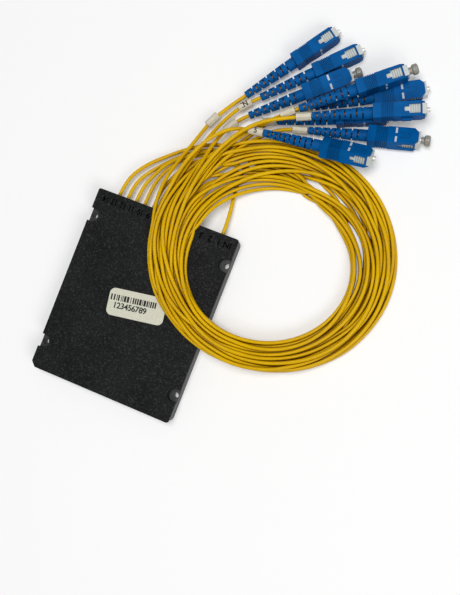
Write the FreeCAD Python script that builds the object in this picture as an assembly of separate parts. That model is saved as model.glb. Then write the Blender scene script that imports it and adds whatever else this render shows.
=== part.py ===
"""Fibre-optic PLC splitter in a flat ABS box: one input and eight output pigtails,
wound in a loose coil and ending in nine push-pull SC plugs.

Frame: millimetres, +Z up, +Y towards the wall that the pigtails leave by, +X along that
wall. The origin is the middle of the box's underside.
"""
import FreeCAD, Part
import math
import os

V = FreeCAD.Vector
UP = V(0, 0, 1)

# ---- box ----
BOX_W = 80.0                 # X
BOX_L = 100.0                # Y
TRAY_H = 8.0
COVER_T = 2.0
WALL = 1.6
FLOOR_T = 1.6
TRAY_CORNER_R = 3.0
COVER_CORNER_R = 1.2
KEYED_CORNER = 2.6           # flat across the one corner that marks the port order
SEAM_BEVEL = 0.35
RIM_H = 1.0                  # rim under the cover that drops inside the tray walls
RIM_T = 1.2
RIM_GAP = 0.15

# ---- screw recesses in the long sides ----
HOLE_SPACING_X = 75.8
HOLE_SPACING_Y = 71.0
HOLE_R = 1.6
RECESS_R = 3.5
RECESS_FLOOR_Z = 6.5
RECESS_WALL = 1.4

# ---- pigtails ----
CORD_R = 1.0
ARC_SHARE = 0.45             # of the shorter run beside a bend, taken up by its arc
OUTPUTS = 8
EXIT_PITCH = 5.0
FIRST_OUTPUT_X = 5.0         # output 1; the others follow at EXIT_PITCH towards -X
INPUT_X = 30.0
EXIT_Z = 5.0
EXIT_GAP = 0.1
ANCHOR_L = 7.0               # resin block behind the wall that the cord ends are set in
ANCHOR_GAP = 5.4             # room for a bend between the block and the wall

# ---- what is sealed inside ----
CHIP_L = 40.0
CHIP_W = 4.0
CHIP_H = 4.0
CHIP_CHAMFER = 0.4
LOOP_R = 25.0                # bare fibre stored in a ring round the chip
LOOP_W = 3.0
LOOP_H = 1.4

# ---- label ----
LABEL_L = 31.0
LABEL_W = 14.3
LABEL_T = 0.12
LABEL_R = 3.0
LABEL_X = 2.4
LABEL_Y = -0.7
LABEL_TURN = 9.0             # degrees

# ---- coil of all nine pigtails, lying half on the box ----
COIL_X = 57.4
COIL_Y = 49.5
COIL_R_IN = 39.8             # of the hole
COIL_HOLE_X = 1.5            # how far the hole's middle is off the coil's
COIL_HOLE_Y = -4.9
COIL_R_OUT = 61.2
COIL_OVAL = 2.0              # longer than round by this much at each end, along X
COIL_H = 7.4
COIL_CHAMFER = 1.8
COIL_REST_GAP = 0.2
COIL_STEPS = 36
ON_BOX_FROM = 172.0          # the arc, in degrees, over which the coil lies on the cover
ON_BOX_TO = 258.0
SAG_SPAN = 42.0              # the arc over which it comes down to the ground at each side

# ---- SC plug, in its own frame: +x out of the mouth, 0 at the grip's front face,
#      +z to the key, window faces at +y and -y ----
GRIP_L = 25.2
GRIP_W = 9.0                 # between the window faces
GRIP_H = 7.4                 # between the key face and the marked face
GRIP_CHAMFER = 2.1
GRIP_TRAVEL = 1.5
CHANNEL_L = 16.0
KEY_FRONT = 6.2
KEY_L = 5.2
KEY_W = 2.4
KEY_H = 1.1
KEY_CHAMFER = 0.55
RIB_COUNT = 7
RIB_PITCH = 0.88
RIB_CUT = 0.44
RIB_DEPTH = 0.3
RIB_START = 4.2              # from the grip's rear face
WINDOW_FRONT = 2.2
WINDOW_HEAD_L = 5.4
WINDOW_HEAD_W = 4.6
WINDOW_NECK_L = 2.3
WINDOW_NECK_W = 2.4
FRAME_W = 7.2
FRAME_H = 5.2
SLIDE_GAP = 0.1              # on each side of what slides
FRAME_PROUD = 1.0
FRAME_BACK = 15.0
FRAME_RIBS = 4
FRAME_RIB_PITCH = 1.1
FRAME_RIB_CUT = 0.55
FRAME_RIB_DEPTH = 0.5
FERRULE_R = 1.25
FERRULE_CHAMFER = 0.25
FERRULE_PROUD = 2.6
FERRULE_BACK = 10.0
FERRULE_TRAVEL = 1.0
FLANGE_R = 1.8
FLANGE_L = 2.0
BOOT_R = 3.0
BOOT_TAIL_R = 1.9
BOOT_OUT = 30.0              # the boot's length behind the grip
BOOT_STRAIGHT = 6.4          # behind the grip, before the cone begins
BOOT_NECK_R = 2.4
BOOT_BORE_GAP = 0.15
SLOT_COUNT = 10
SLOT_PITCH = 1.95            # of the first two slots at the tail
SLOT_SPREAD = 0.14           # what each pitch is longer than the one before
SLOT_W = 0.8
SLOT_FROM_TAIL = 2.2
SLOT_WEB = 1.4               # left between the two slots of a pair
CORD_STRAIGHT_IN = 5.0       # the cord's last bend ends this far inside the boot
CORD_END_GAP = 0.2           # between the cord's end and the plug's inner housing

# ---- dust caps ----
CAP_STEM_R = 1.8
CAP_HEAD_R = 2.75
CAP_STEM_L = 1.6
CAP_HEAD_L = 3.1
CAP_CHAMFER = 0.6            # round both ends of the head
CAP_SEAT_GAP = 0.3
CAP_BORE_GAP = 0.1
CAP_TIP_GAP = 0.5

# ---- numbered sleeves, folded round the cords ----
SLEEVE_L = 7.6
SLEEVE_W = 4.0
SLEEVE_GAP = 0.4             # the cord bends a little inside the sleeve

# Plugs where they lie: middle of the grip (x, y), height of the axis, heading, and the
# side that the key looks to: 0 is left of the heading, -90 is down. Degrees.
PLUGS = {
    "in": dict(at=(52.9, 152.9), z=4.6, heading=44.0, key=0.0, capped=False),
    "1": dict(at=(39.5, 156.3), z=4.6, heading=54.0, key=0.0, capped=False),
    "2": dict(at=(52.5, 140.1), z=4.9, heading=40.5, key=-90.0, capped=True),
    "3": dict(at=(78.6, 148.5), z=13.45, heading=38.0, key=0.0, capped=True),
    "4": dict(at=(88.3, 147.6), z=4.9, heading=28.0, key=-90.0, capped=False),
    "5": dict(at=(74.9, 109.5), z=12.4, heading=6.0, key=-134.0, capped=False),
    "6": dict(at=(92.2, 136.7), z=13.95, heading=22.0, key=180.0, capped=False),
    "7": dict(at=(74.7, 130.1), z=4.6, heading=21.5, key=0.0, capped=True),
    "8": dict(at=(93.4, 125.4), z=5.1, heading=14.0, key=-105.0, capped=True),
}

# Route of each pigtail outside the coil. "lead" runs from the box into the coil, after
# the two points in line with its exit; "tail" runs from the coil to the boot, before the
# two points in line with it. "turn" is how far behind the boot that straight end begins,
# and "sleeve" how far behind the boot the middle of its numbered sleeve is.
ROUTES = {
    "in": dict(lead=[(29.5, 70, 4), (32, 83, 3)],
               tail=[(0.8, 42.5, 14.5), (-1.4, 53, 13.5), (-1.4, 65.2, 12), (0.4, 78.3, 9.5),
                     (3.7, 90.2, 8.6), (7.7, 103.2, 6.4)],
               straight=58, turn=12, sleeve=9),
    "1": dict(lead=[(10.3, 64.8, 9), (15.3, 72.7, 8)],
               tail=[(-3.9, 40.9, 14), (-7.2, 51.7, 13), (-8.2, 64.4, 11), (-5.3, 78.1, 8.6),
                     (-1.9, 89.6, 6.3)],
               straight=57, turn=20, sleeve=21.5),
    "2": dict(lead=[(4.6, 65.1, 8), (9, 74.4, 7)],
               tail=[(4.8, 52, 15), (5.6, 64.3, 14), (7.1, 76.4, 12), (8.1, 89.3, 9),
                     (10.6, 100.1, 5.8)],
               straight=57, turn=5, sleeve=11),
    "3": dict(lead=[(-1.9, 65.3, 7), (2.4, 73.6, 7), (9.1, 81.4, 6)],
               tail=[(8.3, 69, 13.6), (11.2, 79.8, 12.7), (15.7, 92.2, 10.9), (25.1, 105.6, 8.3)],
               straight=57, turn=8, sleeve=6),
    "4": dict(lead=[(-7.5, 65, 6), (-3.6, 73, 6.5), (2.8, 81.5, 5.8), (14.5, 85.5, 5)],
               tail=[(11.1, 77.7, 8.3), (16.3, 88.9, 7.2), (22.8, 100, 5.1), (29.1, 112.9, 0.1)],
               straight=57, turn=6, sleeve=5.5),
    "5": dict(lead=[(-13, 66.3, 5), (-9.2, 74.3, 4.4), (-2.8, 81.3, 3.9), (6.5, 86.8, 3.4),
                     (23.4, 92.4, 4)],
               tail=[(-3, 59.6, 14.5), (-1.6, 72.8, 14), (2.6, 86.4, 13), (9.5, 97.1, 12.4)],
               straight=57, turn=14, sleeve=4.3),
    "6": dict(lead=[(-16.4, 65.8, 5), (-12.2, 73.8, 5.6), (-4.6, 80.8, 6), (5.6, 87.6, 5.5),
                     (21.7, 95, 3.9)],
               tail=[(7.8, 60.3, 16.2), (9, 73.4, 15.4), (12.9, 87.5, 14.1), (20, 100.1, 14.9),
                     (30.3, 110, 16.4)],
               straight=57, turn=8, sleeve=4.3),
    "7": dict(lead=[(-19.7, 66.7, 4.5), (-13.3, 74, 3.8), (-5.5, 81.7, 3.9), (4.6, 89.1, 2.9),
                     (22.5, 93.4, 1.9)],
               tail=[(10, 67.7, 12.4), (12.3, 81, 10.5), (17.2, 95.1, 7.8)],
               straight=57.5, turn=13, sleeve=4.3),
    "8": dict(lead=[(-22.9, 69.7, 4.5), (-13.4, 78.6, 3.5), (-4.3, 86.1, 3), (6.2, 92.5, 2.5),
                     (21.2, 95.8, 2)],
               tail=[(14.6, 81.5, 9.2), (20.3, 92.4, 7.8), (29, 103.5, 5)],
               straight=58, turn=14, sleeve=4.3),
}

# ---- worked out from the above ----
BOX_H = TRAY_H + COVER_T
ANCHOR_FRONT_Y = BOX_L / 2 - WALL - ANCHOR_GAP
CHANNEL_W = FRAME_W + 2 * SLIDE_GAP
CHANNEL_H = FRAME_H + 2 * SLIDE_GAP
FERRULE_HOLE_R = FERRULE_R + 2 * SLIDE_GAP
GRIP_BORE_R = BOOT_R + SLIDE_GAP
CORD_IN_PLUG = BOOT_OUT + GRIP_L - FRAME_BACK - CORD_END_GAP


def block(x0, x1, y0, y1, z0, z1):
    return Part.makeBox(x1 - x0, y1 - y0, z1 - z0, V(x0, y0, z0))


def prism(points, z0, z1):
    """Straight-sided solid on a closed outline of (x, y) points."""
    ring = [V(x, y, z0) for x, y in points]
    return Part.Face(Part.makePolygon(ring + ring[:1])).extrude(V(0, 0, z1 - z0))


def rod(r, x0, x1):
    """Round bar along x."""
    return Part.makeCylinder(r, x1 - x0, V(x0, 0, 0), V(1, 0, 0))


def octagon_bar(r, x0, x1):
    """Eight-sided bar along x; r is to its flats."""
    corner = r / math.cos(math.pi / 8)
    turns = [math.pi / 8 + i * math.pi / 4 for i in range(8)]
    ring = [V(x0, corner * math.cos(a), corner * math.sin(a)) for a in turns]
    return Part.Face(Part.makePolygon(ring + ring[:1])).extrude(V(x1 - x0, 0, 0))


def upright_edges(shape, corners):
    """Edges along z that stand at one of the given corners."""
    found = []
    for edge in shape.Edges:
        a, b = edge.Vertexes[0].Point, edge.Vertexes[-1].Point
        if abs(a.x - b.x) + abs(a.y - b.y) > 1e-6:
            continue
        if any(abs(a.x - x) + abs(a.y - y) < 1e-6 for x, y in corners):
            found.append(edge)
    return found


def plate(w, l, z0, z1, r, keyed):
    """Rectangular slab with rounded corners, and a flat across the -X -Y one."""
    body = block(-w / 2, w / 2, -l / 2, l / 2, z0, z1)
    round_corners = [(w / 2, -l / 2), (w / 2, l / 2), (-w / 2, l / 2)]
    body = body.makeFillet(r, upright_edges(body, round_corners))
    return body.makeChamfer(keyed, upright_edges(body, [(-w / 2, -l / 2)]))


def outer_loop_edges(shape, z):
    """Edges of the outline that bounds the shape's top or bottom face at height z."""
    flat = [f for f in shape.Faces if abs(f.BoundBox.ZMin - z) + abs(f.BoundBox.ZMax - z) < 1e-6]
    largest = max(flat, key=lambda f: f.Area)
    return largest.OuterWire.Edges


def screw_places():
    for side in (-1, 1):
        for end in (-1, 1):
            yield side, side * HOLE_SPACING_X / 2, end * HOLE_SPACING_Y / 2


def u_shape(side, x, y, r, z0, z1):
    """Round-ended slot shape that opens through the box's long side."""
    outside = side * (BOX_W / 2 + 1)
    x0, x1 = min(x, outside), max(x, outside)
    return block(x0, x1, y - r, y + r, z0, z1).fuse(Part.makeCylinder(r, z1 - z0, V(x, y, z0)))


def exit_places():
    """Cord name and X of each exit in the +Y wall."""
    yield "in", INPUT_X
    for i in range(OUTPUTS):
        yield str(i + 1), FIRST_OUTPUT_X - i * EXIT_PITCH


def base_tray():
    tray = plate(BOX_W, BOX_L, 0, TRAY_H, TRAY_CORNER_R, KEYED_CORNER)
    tray = tray.makeChamfer(SEAM_BEVEL, outer_loop_edges(tray, TRAY_H))
    inner_r = TRAY_CORNER_R - WALL
    hollow = plate(BOX_W - 2 * WALL, BOX_L - 2 * WALL, FLOOR_T, TRAY_H, inner_r, KEYED_CORNER)
    for side, x, y in screw_places():
        hollow = hollow.cut(u_shape(side, x, y, RECESS_R + RECESS_WALL, 0, TRAY_H))
    tray = tray.cut(hollow)
    for side, x, y in screw_places():
        tray = tray.cut(u_shape(side, x, y, RECESS_R, RECESS_FLOOR_Z, TRAY_H))
        tray = tray.cut(Part.makeCylinder(HOLE_R, TRAY_H, V(x, y, 0)))
    wall_in = BOX_L / 2 - WALL
    for _, x in exit_places():
        start = V(x, wall_in - WALL / 2, EXIT_Z)
        hole = Part.makeCylinder(CORD_R + EXIT_GAP, 2 * WALL, start, V(0, 1, 0))
        tray = tray.cut(hole)
    return tray


def cover():
    lid = plate(BOX_W, BOX_L, TRAY_H, BOX_H, COVER_CORNER_R, KEYED_CORNER)
    lid = lid.makeChamfer(SEAM_BEVEL, outer_loop_edges(lid, BOX_H))
    rim_w, rim_l = BOX_W - 2 * (WALL + RIM_GAP), BOX_L - 2 * (WALL + RIM_GAP)
    rim_r = TRAY_CORNER_R - WALL - RIM_GAP
    rim = plate(rim_w, rim_l, TRAY_H - RIM_H, TRAY_H, rim_r, KEYED_CORNER)
    rim = rim.cut(block(-rim_w / 2 + RIM_T, rim_w / 2 - RIM_T, -rim_l / 2 + RIM_T, rim_l / 2 - RIM_T,
                        TRAY_H - RIM_H, TRAY_H))
    for side, x, y in screw_places():
        rim = rim.cut(u_shape(side, x, y, RECESS_R + RECESS_WALL + RIM_GAP, 0, TRAY_H))
    lid = lid.fuse(rim)
    for side, x, y in screw_places():
        lid = lid.cut(u_shape(side, x, y, RECESS_R, TRAY_H, BOX_H))
    return lid.removeSplitter()


def cable_anchor():
    """Resin block across the floor that the cord ends are set in."""
    x0 = FIRST_OUTPUT_X - (OUTPUTS - 0.5) * EXIT_PITCH
    return block(x0, INPUT_X + EXIT_PITCH / 2, ANCHOR_FRONT_Y - ANCHOR_L, ANCHOR_FRONT_Y,
                 FLOOR_T, EXIT_Z + 2 * CORD_R)


def fibre_ring():
    """Bare fibre stored on the floor, touching the resin block."""
    centre = V(0, ANCHOR_FRONT_Y - ANCHOR_L - LOOP_R, FLOOR_T)
    ring = Part.makeCylinder(LOOP_R, LOOP_H, centre)
    return ring.cut(Part.makeCylinder(LOOP_R - LOOP_W, LOOP_H, centre))


def chip_module():
    """Steel tube of the splitter chip, bedded on the floor inside the fibre ring."""
    y = ANCHOR_FRONT_Y - ANCHOR_L - LOOP_R
    tube = block(-CHIP_L / 2, CHIP_L / 2, y - CHIP_W / 2, y + CHIP_W / 2, FLOOR_T, FLOOR_T + CHIP_H)
    long_edges = [e for e in tube.Edges if abs(e.BoundBox.XLength - CHIP_L) < 1e-6]
    return tube.makeChamfer(CHIP_CHAMFER, long_edges)


def barcode_label():
    sticker = block(-LABEL_L / 2, LABEL_L / 2, -LABEL_W / 2, LABEL_W / 2, 0, LABEL_T)
    corners = [(sx * LABEL_L / 2, sy * LABEL_W / 2) for sx in (-1, 1) for sy in (-1, 1)]
    sticker = sticker.makeFillet(LABEL_R, upright_edges(sticker, corners))
    sticker.rotate(V(0, 0, 0), UP, LABEL_TURN)
    sticker.translate(V(LABEL_X, LABEL_Y, BOX_H))
    return sticker


def coil_base_z(turn):
    """Height of the coil's underside at an angle of turn degrees round its middle."""
    past = max(ON_BOX_FROM - turn, turn - ON_BOX_TO, 0)
    t = min(past / SAG_SPAN, 1)
    return (BOX_H + COIL_REST_GAP) * (1 - t * t * (3 - 2 * t))


def coil_section(turn):
    """Corners of the coil's eight-sided section at an angle of turn degrees."""
    a, z = math.radians(turn), coil_base_z(turn)
    r0 = COIL_R_IN + COIL_HOLE_X * math.cos(a) + COIL_HOLE_Y * math.sin(a)
    r1 = COIL_R_OUT + COIL_OVAL * math.cos(2 * a)
    c, h = COIL_CHAMFER, COIL_H
    corners = [(r0, c), (r0 + c, 0), (r1 - c, 0), (r1, c),
               (r1, h - c), (r1 - c, h), (r0 + c, h), (r0, h - c)]
    return [V(COIL_X + r * math.cos(a), COIL_Y + r * math.sin(a), z + dz) for r, dz in corners]


def pigtail_coil():
    """Outer shape of the wound cords: an eight-sided band, a little oval, with its hole
    off the middle. It lies on the cover along one side and sags to the ground along the
    rest."""
    rings = [coil_section(i * 360 / COIL_STEPS) for i in range(COIL_STEPS)]
    faces = []
    for i in range(COIL_STEPS):
        here, there = rings[i], rings[(i + 1) % COIL_STEPS]
        for j in range(8):
            k = (j + 1) % 8
            for a, b, d in ((here[j], here[k], there[k]), (here[j], there[k], there[j])):
                faces.append(Part.Face(Part.makePolygon([a, b, d, a])))
    shell = Part.Shell(faces)
    shell.sewShape()
    return Part.Solid(shell)


def grip():
    """Push-pull grip: chamfered mouth, key, ribbed waist, T windows, open channel."""
    back, w, h, c = -GRIP_L, GRIP_W / 2, GRIP_H / 2, GRIP_CHAMFER
    outline = [(back, -w), (-c, -w), (0, c - w), (0, w - c), (-c, w), (back, w)]
    body = prism(outline, -h, h)
    key = prism([(-KEY_FRONT - KEY_L, -KEY_W / 2), (-KEY_FRONT, -KEY_W / 2),
                 (-KEY_FRONT, KEY_W / 2), (-KEY_FRONT - KEY_L, KEY_W / 2)], h, h + KEY_H)
    ends = [e for e in key.Edges if e.BoundBox.ZMin > h + KEY_H - 1e-6 and e.BoundBox.XLength < 1e-6]
    body = body.fuse(key.makeChamfer(KEY_CHAMFER, ends))
    cutters = []
    for i in range(RIB_COUNT):
        x = back + RIB_START + i * RIB_PITCH
        band = block(x, x + RIB_CUT, -w - 1, w + 1, -h - 1, h + 1)
        core = block(x, x + RIB_CUT, RIB_DEPTH - w, w - RIB_DEPTH, RIB_DEPTH - h, h - RIB_DEPTH)
        cutters.append(band.cut(core))
    neck_x = -WINDOW_FRONT - WINDOW_HEAD_L
    cutters.append(block(neck_x, -WINDOW_FRONT, -w - 1, w + 1, -WINDOW_HEAD_W / 2, WINDOW_HEAD_W / 2))
    cutters.append(block(neck_x - WINDOW_NECK_L, neck_x, -w - 1, w + 1,
                         -WINDOW_NECK_W / 2, WINDOW_NECK_W / 2))
    cutters.append(block(-CHANNEL_L, 1, -CHANNEL_W / 2, CHANNEL_W / 2, -CHANNEL_H / 2, CHANNEL_H / 2))
    cutters.append(rod(GRIP_BORE_R, back - 1, -CHANNEL_L))
    return body.cut(cutters).removeSplitter()


def plug_frame():
    """White inner housing with the latch ribs that show in the grip's windows."""
    w, h = FRAME_W / 2, FRAME_H / 2
    body = block(-FRAME_BACK, FRAME_PROUD, -w, w, -h, h)
    cutters = []
    for i in range(FRAME_RIBS):
        x = -WINDOW_FRONT - WINDOW_HEAD_L + FRAME_RIB_CUT + i * FRAME_RIB_PITCH
        for side in (-1, 1):
            y0, y1 = sorted((side * (w - FRAME_RIB_DEPTH), side * (w + 1)))
            cutters.append(block(x, x + FRAME_RIB_CUT, y0, y1, -h, h))
    seat = -FERRULE_BACK + FLANGE_L + SLIDE_GAP
    room = FERRULE_TRAVEL + 2 * SLIDE_GAP
    cutters.append(octagon_bar(FLANGE_R + 2 * SLIDE_GAP, -FERRULE_BACK - room, seat))
    cutters.append(octagon_bar(FERRULE_HOLE_R, seat, FRAME_PROUD + 1))
    return body.cut(cutters)


def ferrule():
    """Ceramic ferrule with its flange, pressed forward by a spring in the frame."""
    pin = rod(FERRULE_R, -FERRULE_BACK, FERRULE_PROUD)
    tip = [e for e in pin.Edges if e.BoundBox.XMin > FERRULE_PROUD - 1e-6]
    pin = pin.makeChamfer(FERRULE_CHAMFER, tip)
    return pin.fuse(octagon_bar(FLANGE_R, -FERRULE_BACK, -FERRULE_BACK + FLANGE_L))


def boot():
    """Bend-relief boot: plain collar in the grip, then a cone slotted from alternate
    sides, closer towards the tail, so that it bends evenly and the cord shows through."""
    rear = -GRIP_L
    collar_end = -CHANNEL_L - GRIP_TRAVEL - SLIDE_GAP
    cone_start, tail = rear - BOOT_STRAIGHT, rear - BOOT_OUT
    body = rod(BOOT_NECK_R, collar_end, -FRAME_BACK)
    body = body.fuse(rod(BOOT_R, cone_start, collar_end))
    cone = Part.makeCone(BOOT_TAIL_R, BOOT_R, cone_start - tail, V(tail, 0, 0), V(1, 0, 0))
    body = body.fuse(cone)
    cutters = [octagon_bar(CORD_R + BOOT_BORE_GAP, tail - 1, -FRAME_BACK)]
    for i in range(SLOT_COUNT):
        x = tail + SLOT_FROM_TAIL + i * SLOT_PITCH + SLOT_SPREAD * i * (i - 1) / 2
        for side in (-1, 1):
            lo, hi = sorted((side * SLOT_WEB / 2, side * 2 * BOOT_R))
            if i % 2:
                cutters.append(block(x, x + SLOT_W, -2 * BOOT_R, 2 * BOOT_R, lo, hi))
            else:
                cutters.append(block(x, x + SLOT_W, lo, hi, -2 * BOOT_R, 2 * BOOT_R))
    return body.cut(cutters)


def dust_cap():
    """Soft cap with a flared head, pulled off along the ferrule."""
    start = FRAME_PROUD + CAP_SEAT_GAP
    head = start + CAP_STEM_L
    knob = rod(CAP_HEAD_R, head, head + CAP_HEAD_L)
    rings = [edge for edge in knob.Edges if edge.BoundBox.XLength < 1e-6]
    body = rod(CAP_STEM_R, start, head).fuse(knob.makeChamfer(CAP_CHAMFER, rings))
    return body.cut(rod(FERRULE_R + CAP_BORE_GAP, start, FERRULE_PROUD + CAP_TIP_GAP))


def plug_placement(plug):
    """From the plug's own frame to where it lies."""
    a, k = math.radians(plug["heading"]), math.radians(plug["key"])
    ahead = V(math.cos(a), math.sin(a), 0)
    left = V(-math.sin(a), math.cos(a), 0)
    key = left * math.cos(k) + UP * math.sin(k)
    window = key.cross(ahead)
    mouth = V(plug["at"][0], plug["at"][1], plug["z"]) + ahead * (GRIP_L / 2)
    m = FreeCAD.Matrix(ahead.x, window.x, key.x, mouth.x,
                       ahead.y, window.y, key.y, mouth.y,
                       ahead.z, window.z, key.z, mouth.z, 0, 0, 0, 1)
    return FreeCAD.Placement(m)


def placed(shape, plug):
    moved = shape.copy()
    moved.Placement = plug_placement(plug)
    return moved


def behind_boot(plug, distance):
    """Point on the plug's axis, that far behind the boot's tail."""
    return plug_placement(plug).multVec(V(-GRIP_L - BOOT_OUT - distance, 0, 0))


def cord_line(points, name):
    """Straight runs joined by tangent arcs, each as large as its runs allow. Prints the
    length and the smallest radius."""
    edges, at, smallest = [], points[0], float("inf")
    for before, here, after in zip(points, points[1:], points[2:]):
        u, w = (here - before), (after - here)
        shorter = min(u.Length, w.Length)
        u.normalize()
        w.normalize()
        half = u.getAngle(w) / 2
        reach = ARC_SHARE * shorter
        radius = reach / math.tan(half)
        bisector = (w - u).normalize()
        middle = here + bisector * (radius / math.cos(half) - radius)
        start, end = here - u * reach, here + w * reach
        edges.append(Part.LineSegment(at, start).toShape())
        edges.append(Part.Arc(start, middle, end).toShape())
        at, smallest = end, min(smallest, radius)
    edges.append(Part.LineSegment(at, points[-1]).toShape())
    length = sum(edge.Length for edge in edges)
    print(f"{name}: length {length:.1f}, smallest radius {smallest:.1f}")
    return edges


def cord_tube(edges):
    """Round tube along a cord line. Prints how its volume compares with section by length."""
    ring = Part.Wire([Part.makeCircle(CORD_R, edges[0].valueAt(edges[0].FirstParameter),
                                      edges[0].tangentAt(edges[0].FirstParameter))])
    tube = Part.Wire(edges).makePipeShell([ring], True, False)
    length = sum(edge.Length for edge in edges)
    print(f"    volume ratio {tube.Volume / (math.pi * CORD_R ** 2 * length):.4f}")
    return tube


def back_along(edges, distance):
    """Point and direction on a cord line, that far back from its end."""
    for edge in reversed(edges):
        if distance <= edge.Length:
            at = edge.getParameterByLength(edge.Length - distance)
            return edge.valueAt(at), edge.tangentAt(at)
        distance -= edge.Length
    return edges[0].valueAt(edges[0].FirstParameter), edges[0].tangentAt(edges[0].FirstParameter)


def lead_line(name, x):
    route = ROUTES[name]
    points = [V(x, ANCHOR_FRONT_Y, EXIT_Z), V(x, route["straight"], EXIT_Z)]
    return cord_line(points + [V(*p) for p in route["lead"]], f"lead {name}")


def tail_line(name):
    route, plug = ROUTES[name], PLUGS[name]
    points = [V(*p) for p in route["tail"]]
    points += [behind_boot(plug, route["turn"]), behind_boot(plug, -CORD_STRAIGHT_IN)]
    edges = cord_line(points, f"tail {name}")
    return edges + [Part.LineSegment(points[-1], behind_boot(plug, -CORD_IN_PLUG)).toShape()]


def number_sleeve(tail, name):
    """Eight-sided sleeve round the cord, set along it."""
    middle, ahead = back_along(tail, CORD_IN_PLUG + ROUTES[name]["sleeve"])
    half = SLEEVE_L / 2
    sleeve = octagon_bar(SLEEVE_W / 2, -half, half).cut(octagon_bar(CORD_R + SLEEVE_GAP, -half, half))
    level = UP.cross(ahead)
    sleeve.Placement = FreeCAD.Placement(middle, FreeCAD.Rotation(ahead, level, UP, "XZY"))
    return sleeve


def all_nodes():
    yield "base_tray", base_tray()
    yield "cover", cover()
    yield "cable_anchor", cable_anchor()
    yield "chip_module", chip_module()
    yield "fibre_ring", fibre_ring()
    yield "barcode_label", barcode_label()
    yield "pigtail_coil", pigtail_coil()
    plug_pieces = dict(grip=grip(), plug_frame=plug_frame(), ferrule=ferrule(), boot=boot())
    cap = dust_cap()
    sleeves = []
    for name, x in exit_places():
        tail = tail_line(name)
        sleeves.append(number_sleeve(tail, name))
        yield f"pigtail_{name}", Part.makeCompound([cord_tube(lead_line(name, x)), cord_tube(tail)])
        for piece, shape in plug_pieces.items():
            yield f"{piece}_{name}", placed(shape, PLUGS[name])
        if PLUGS[name]["capped"]:
            yield f"dust_cap_{name}", placed(cap, PLUGS[name])
    yield "number_sleeves", Part.makeCompound(sleeves)


os.makedirs("parts", exist_ok=True)
for node, solid in all_nodes():
    solid.exportStep(f"parts/{node}.step")
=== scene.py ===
"""Looks of a fibre-optic splitter: a textured ABS box with nine yellow pigtails, wound in a
loose coil and ending in blue push-pull plugs. Lengths are in millimetres unless said."""
import math
import random

import bmesh
import bpy
import numpy as np
from mathutils import Matrix, Vector


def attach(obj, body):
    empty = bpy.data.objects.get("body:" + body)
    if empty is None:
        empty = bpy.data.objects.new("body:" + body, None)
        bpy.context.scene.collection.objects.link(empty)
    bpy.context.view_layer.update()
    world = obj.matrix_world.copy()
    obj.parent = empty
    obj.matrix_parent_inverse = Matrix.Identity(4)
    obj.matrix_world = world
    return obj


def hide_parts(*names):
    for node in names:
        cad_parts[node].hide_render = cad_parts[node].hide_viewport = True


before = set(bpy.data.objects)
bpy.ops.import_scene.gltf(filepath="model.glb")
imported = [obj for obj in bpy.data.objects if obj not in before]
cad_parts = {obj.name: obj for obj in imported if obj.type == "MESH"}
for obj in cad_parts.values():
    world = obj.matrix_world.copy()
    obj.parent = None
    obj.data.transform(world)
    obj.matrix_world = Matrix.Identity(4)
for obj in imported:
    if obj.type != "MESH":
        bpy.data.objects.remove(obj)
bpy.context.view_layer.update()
MM = 0.001
NAMES = ["in"] + [str(n) for n in range(1, 9)]


def put(name, data):
    """A new object, linked into the scene."""
    piece = bpy.data.objects.new(name, data)
    bpy.context.scene.collection.objects.link(piece)
    return piece


# ---------------------------------------------------------------- camera
def make_camera():
    """Looks down on the part from well above its right-hand side."""
    data = bpy.data.cameras.new("camera")
    data.lens = 54.45
    data.sensor_width = 36
    data.clip_start = 0.01
    camera = put("camera", data)
    right = Vector((0.9138, 0.3639, -0.1801))
    up = Vector((-0.3571, 0.9314, 0.0703))
    back = Vector((0.1934, 0.0001, 0.9811))
    turn = Matrix((right, up, back)).transposed().to_4x4()
    camera.matrix_world = Matrix.Translation(Vector((134.58, 21.21, 456.78)) * MM) @ turn
    bpy.context.scene.camera = camera


make_camera()


# ---------------------------------------------------------------- materials
def srgb(text):
    """Linear colour from an sRGB hex value."""
    channels = [int(text[i:i + 2], 16) / 255 for i in (1, 3, 5)]
    linear = [c / 12.92 if c <= 0.04045 else ((c + 0.055) / 1.055) ** 2.4 for c in channels]
    return (*linear, 1)


def add_node(tree, kind, inputs=(), **settings):
    """A new node with its settings, and its inputs set or linked by name or number."""
    node = tree.nodes.new(kind)
    for key, value in settings.items():
        setattr(node, key, value)
    for key, value in dict(inputs).items():
        if isinstance(value, bpy.types.NodeSocket):
            tree.links.new(value, node.inputs[key])
        else:
            node.inputs[key].default_value = value
    return node


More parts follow.
